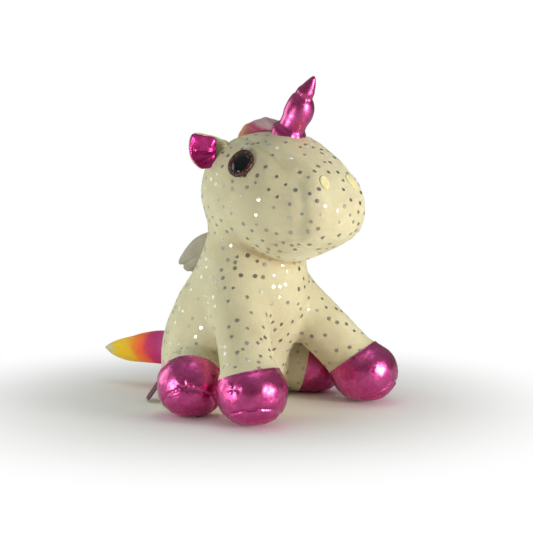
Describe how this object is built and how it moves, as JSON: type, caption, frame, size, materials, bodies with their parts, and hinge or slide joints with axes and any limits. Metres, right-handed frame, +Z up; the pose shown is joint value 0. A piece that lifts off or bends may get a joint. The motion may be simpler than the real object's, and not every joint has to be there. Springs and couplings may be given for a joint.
{
  "type": "plush unicorn",
  "caption": "Seated plush unicorn with foil-cloth hooves and horn, small satin wings and a striped tail; its head, legs, ears, horn, wings and tail flex.",
  "frame": {"origin": "on the flat underside of the seat panel, in the toy's plane of symmetry", "axes": "+Z up, the toy faces -Y, its left side is +X"},
  "size_m": [0.1872, 0.2552, 0.2544],
  "materials": {
    "cream_velour": "matte",
    "magenta_foil_cloth": "satin",
    "fibre_fill": "matte",
    "nostril_thread": "satin",
    "mane_pile": "matte",
    "wing_satin": "satin",
    "rainbow_pile": "matte",
    "label_satin": "satin",
    "pouch_linen": "matte",
    "horn_thread": "matte",
    "eye_glitter": "gloss",
    "eye_black": "gloss",
    "washer_plastic": "satin",
    "pellets": "matte"
  },
  "bodies": {
    "torso": {"torso_stuffing": "fibre_fill", "torso_side_left": "cream_velour", "torso_side_right": "cream_velour", "belly_panel": "cream_velour", "seat_panel": "cream_velour", "pellet_pouch": "pouch_linen", "pellet_fill": "pellets"},
    "neck": {"neck_stuffing": "fibre_fill"},
    "head": {"head_stuffing": "fibre_fill", "forehead_gusset": "cream_velour", "chin_panel": "cream_velour", "head_side_left": "cream_velour", "head_side_right": "cream_velour", "nostril_left": "nostril_thread", "nostril_right": "nostril_thread", "eye_left_rim": "eye_glitter", "eye_left_pupil": "eye_black", "eye_left_washer": "washer_plastic", "eye_right_rim": "eye_glitter", "eye_right_pupil": "eye_black", "eye_right_washer": "washer_plastic", "mane": "mane_pile"},
    "horn": {"horn_skin": "magenta_foil_cloth", "horn_stuffing": "fibre_fill", "horn_thread": "horn_thread"},
    "ear_left": {"ear_left_outer": "cream_velour", "ear_left_inner": "magenta_foil_cloth"},
    "wing_left": {"wing_left_front": "wing_satin", "wing_left_back": "wing_satin"},
    "front_leg_left": {"front_leg_left_skin": "cream_velour", "front_hoof_left": "magenta_foil_cloth", "front_sole_left": "magenta_foil_cloth", "front_leg_left_stuffing": "fibre_fill"},
    "hind_leg_left": {"hind_leg_left_skin": "cream_velour", "hind_hoof_left": "magenta_foil_cloth", "hind_sole_left": "magenta_foil_cloth", "hind_leg_left_stuffing": "fibre_fill"},
    "ear_right": {"ear_right_outer": "cream_velour", "ear_right_inner": "magenta_foil_cloth"},
    "wing_right": {"wing_right_front": "wing_satin", "wing_right_back": "wing_satin"},
    "front_leg_right": {"front_leg_right_skin": "cream_velour", "front_hoof_right": "magenta_foil_cloth", "front_sole_right": "magenta_foil_cloth", "front_leg_right_stuffing": "fibre_fill"},
    "hind_leg_right": {"hind_leg_right_skin": "cream_velour", "hind_hoof_right": "magenta_foil_cloth", "hind_sole_right": "magenta_foil_cloth", "hind_leg_right_stuffing": "fibre_fill"},
    "tail": {"tail_skin": "rainbow_pile", "tail_stuffing": "fibre_fill"},
    "label": {"care_label": "label_satin"}
  },
  "joints": [
    {"name": "head_turn", "type": "hinge", "parent": "torso", "child": "neck", "pos_m": [0, -0.021, 0.131], "axis": [0, -0.284, 0.9588], "range_deg": [-20, 20], "stiffness_Nm_per_rad": 1.2},
    {"name": "head_nod", "type": "hinge", "parent": "neck", "child": "head", "pos_m": [0, -0.021, 0.131], "axis": [1, 0, 0], "range_deg": [-8, 8], "stiffness_Nm_per_rad": 2},
    {"name": "horn_bend", "type": "hinge", "parent": "head", "child": "horn", "pos_m": [0, -0.05929, 0.21664], "axis": [1, 0, 0], "range_deg": [-8, 8], "stiffness_Nm_per_rad": 0.05},
    {"name": "ear_left_fold", "type": "hinge", "parent": "head", "child": "ear_left", "pos_m": [0.037, -0.018, 0.197], "axis": [0, 0, 1], "range_deg": [-8, 20], "stiffness_Nm_per_rad": 0.01},
    {"name": "ear_right_fold", "type": "hinge", "parent": "head", "child": "ear_right", "pos_m": [-0.037, -0.018, 0.197], "axis": [0, 0, -1], "range_deg": [-8, 20], "stiffness_Nm_per_rad": 0.01},
    {"name": "wing_left_flap", "type": "hinge", "parent": "torso", "child": "wing_left", "pos_m": [0.009, 0.0275, 0.102], "axis": [0.21, -0.1213, 0.9701], "range_deg": [-15, 15], "stiffness_Nm_per_rad": 0.02},
    {"name": "wing_right_flap", "type": "hinge", "parent": "torso", "child": "wing_right", "pos_m": [-0.009, 0.0275, 0.102], "axis": [0.21, 0.1213, -0.9701], "range_deg": [-15, 15], "stiffness_Nm_per_rad": 0.02},
    {"name": "front_leg_left_swing", "type": "hinge", "parent": "torso", "child": "front_leg_left", "pos_m": [0.029, -0.029, 0.087], "axis": [-1, 0, 0], "range_deg": [-3, 12], "stiffness_Nm_per_rad": 1},
    {"name": "front_leg_right_swing", "type": "hinge", "parent": "torso", "child": "front_leg_right", "pos_m": [-0.029, -0.029, 0.087], "axis": [-1, 0, 0], "range_deg": [-3, 12], "stiffness_Nm_per_rad": 1},
    {"name": "hind_leg_left_splay", "type": "hinge", "parent": "torso", "child": "hind_leg_left", "pos_m": [0.031, 0.011, 0.031], "axis": [0, 0, 1], "range_deg": [-2, 12], "stiffness_Nm_per_rad": 1},
    {"name": "hind_leg_right_splay", "type": "hinge", "parent": "torso", "child": "hind_leg_right", "pos_m": [-0.031, 0.011, 0.031], "axis": [0, 0, -1], "range_deg": [-2, 12], "stiffness_Nm_per_rad": 1},
    {"name": "tail_wag", "type": "hinge", "parent": "torso", "child": "tail", "pos_m": [0, 0.056, 0.033], "axis": [0, 0, 1], "range_deg": [-20, 20], "stiffness_Nm_per_rad": 0.08},
    {"name": "label_flap", "type": "hinge", "parent": "torso", "child": "label", "pos_m": [-0.0464, 0.0379, 0.0195], "axis": [0.5593, 0.829, 0], "range_deg": [-5, 45], "stiffness_Nm_per_rad": 0.0005}
  ]
}
